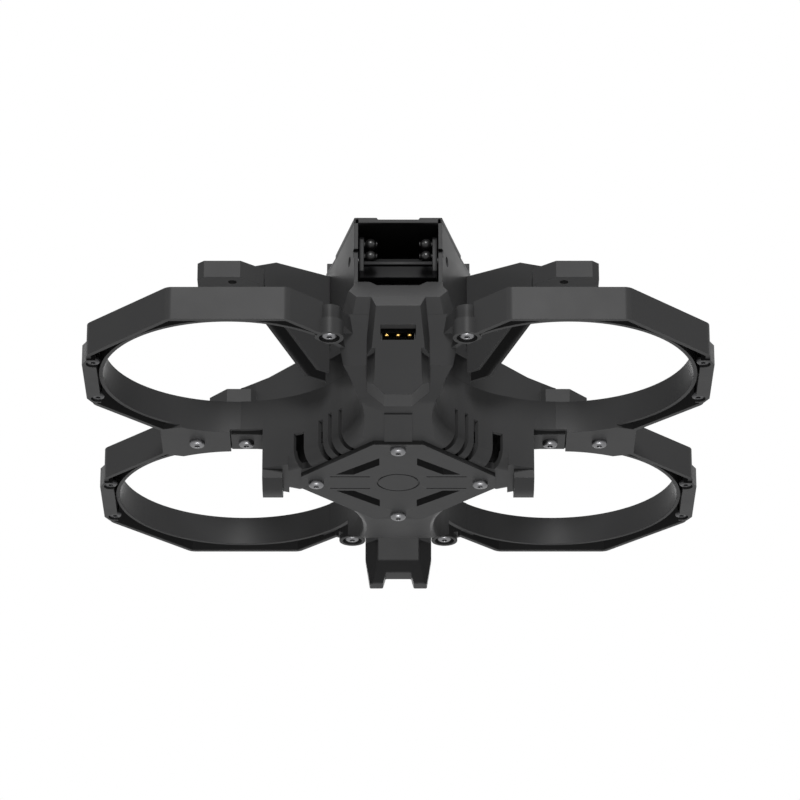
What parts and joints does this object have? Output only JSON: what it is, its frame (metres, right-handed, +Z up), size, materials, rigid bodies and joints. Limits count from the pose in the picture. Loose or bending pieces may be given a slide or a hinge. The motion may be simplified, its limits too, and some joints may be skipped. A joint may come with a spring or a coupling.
{
  "type": "fpv racing drone",
  "caption": "Ducted racing quadcopter airframe with octagonal prop guards, pusher motor pods, tilting camera cradle and battery latch.",
  "frame": {"origin": "on the ground below the centre of the four ducts", "axes": "+Z up, the nose and camera point along -Y, +X to the right as seen from in front"},
  "size_m": [0.161, 0.1514, 0.0594],
  "materials": {
    "frame_plastic": "fine matte moulded texture",
    "guard_plastic": "fine matte moulded texture",
    "connector_plastic": "satin moulded",
    "gloss_detail": "satin black",
    "steel": "polished button heads",
    "black_steel": "black oxide",
    "brass": "knurled",
    "gold_contacts": "gold plated",
    "rubber": "soft matte",
    "grip_pad": "ribbed matte",
    "circuit_board": "solder mask with parts"
  },
  "bodies": {
    "airframe": {"arm_front_left": "frame_plastic", "arm_front_right": "frame_plastic", "arm_rear_left": "frame_plastic", "arm_rear_right": "frame_plastic", "battery_blades": "gold_contacts", "battery_contacts": "gloss_detail", "battery_pad": "grip_pad", "belly_plate": "frame_plastic", "bridge_screws": "steel", "camera_hood": "frame_plastic", "clamp_screws": "steel", "contact_block": "gloss_detail", "contact_pins": "gold_contacts", "flight_controller": "circuit_board", "front_fascia": "frame_plastic", "guard_front_left": "guard_plastic", "guard_front_right": "guard_plastic", "guard_middle_left": "guard_plastic", "guard_middle_right": "guard_plastic", "guard_rear_left": "guard_plastic", "guard_rear_right": "guard_plastic", "latch_pin": "steel", "lower_tub": "frame_plastic", "nose_cover": "frame_plastic", "stack_grommets": "rubber", "stack_nuts": "steel", "stack_screws": "steel", "tail_skid": "frame_plastic", "threaded_inserts": "brass", "tip_connector_front_left": "connector_plastic", "tip_connector_front_right": "connector_plastic", "tip_connector_rear_left": "connector_plastic", "tip_connector_rear_right": "connector_plastic", "tip_screws": "black_steel", "top_deck": "frame_plastic", "upper_shell": "frame_plastic"},
    "camera_mount": {"camera_cradle": "gloss_detail", "cradle_pins": "steel", "damping_balls": "rubber"},
    "latch": {"battery_latch": "gloss_detail"}
  },
  "joints": [
    {"name": "camera_tilt", "type": "hinge", "parent": "airframe", "child": "camera_mount", "pos_m": [0, -0.0475, 0.0445], "axis": [-1, 0, 0], "range_deg": [-5, 30]},
    {"name": "latch_press", "type": "hinge", "parent": "airframe", "child": "latch", "pos_m": [0, 0.0445, 0.0568], "axis": [-1, 0, 0], "range_deg": [0, 25], "stiffness_Nm_per_rad": 0.004, "springref_deg": -8.59}
  ]
}
